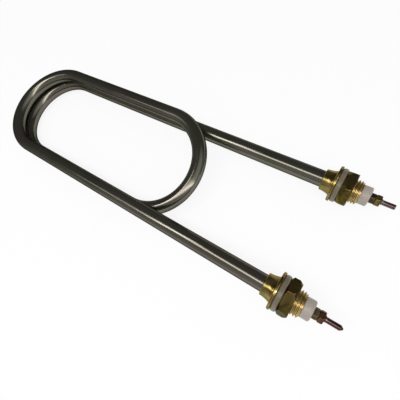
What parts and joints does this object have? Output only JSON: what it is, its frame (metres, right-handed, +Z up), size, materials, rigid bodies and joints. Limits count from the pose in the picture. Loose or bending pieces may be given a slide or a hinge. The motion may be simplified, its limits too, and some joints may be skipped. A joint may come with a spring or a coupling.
{
  "type": "tubular heating element",
  "caption": "Oblong coil of sheathed heating tube whose two parallel legs end in threaded brass wall fittings with ceramic-insulated terminal pins.",
  "frame": {"origin": "midway between the axes of the two legs, in the plane where the flanges seat on their gaskets", "axes": "+X out along the legs towards the terminals, +Y towards the leg of terminal a, which is the lower one, +Z up through the stacked turns"},
  "size_m": [0.2943, 0.0916, 0.0368],
  "materials": {
    "stainless_steel": "dark polished stainless steel sheath",
    "magnesia": "pressed magnesia powder, dull",
    "resistance_wire": "close-wound nickel-chrome wire",
    "brass": "turned brass, semi-bright",
    "silicone": "translucent grey silicone",
    "ceramic": "white unglazed steatite",
    "sealing_compound": "cured sealing resin",
    "stud_steel": "bright steel stud",
    "plated_nut": "small brass nut, dulled",
    "brass_nut": "small brass nut, semi-bright"
  },
  "bodies": {
    "root": {"sheath_tube": "stainless_steel", "magnesia_core": "magnesia", "heating_coil": "resistance_wire", "fitting_a": "brass", "gasket_a": "silicone", "lock_nut_a": "brass", "ceramic_bush_a": "ceramic", "end_seal_a": "sealing_compound", "terminal_stud_a": "stud_steel", "terminal_nut_a": "plated_nut", "jam_nut_a": "brass_nut", "fitting_b": "brass", "gasket_b": "silicone", "lock_nut_b": "brass", "ceramic_bush_b": "ceramic", "end_seal_b": "sealing_compound", "terminal_stud_b": "stud_steel", "terminal_nut_b": "plated_nut", "jam_nut_b": "brass_nut"}
  },
  "joints": []
}
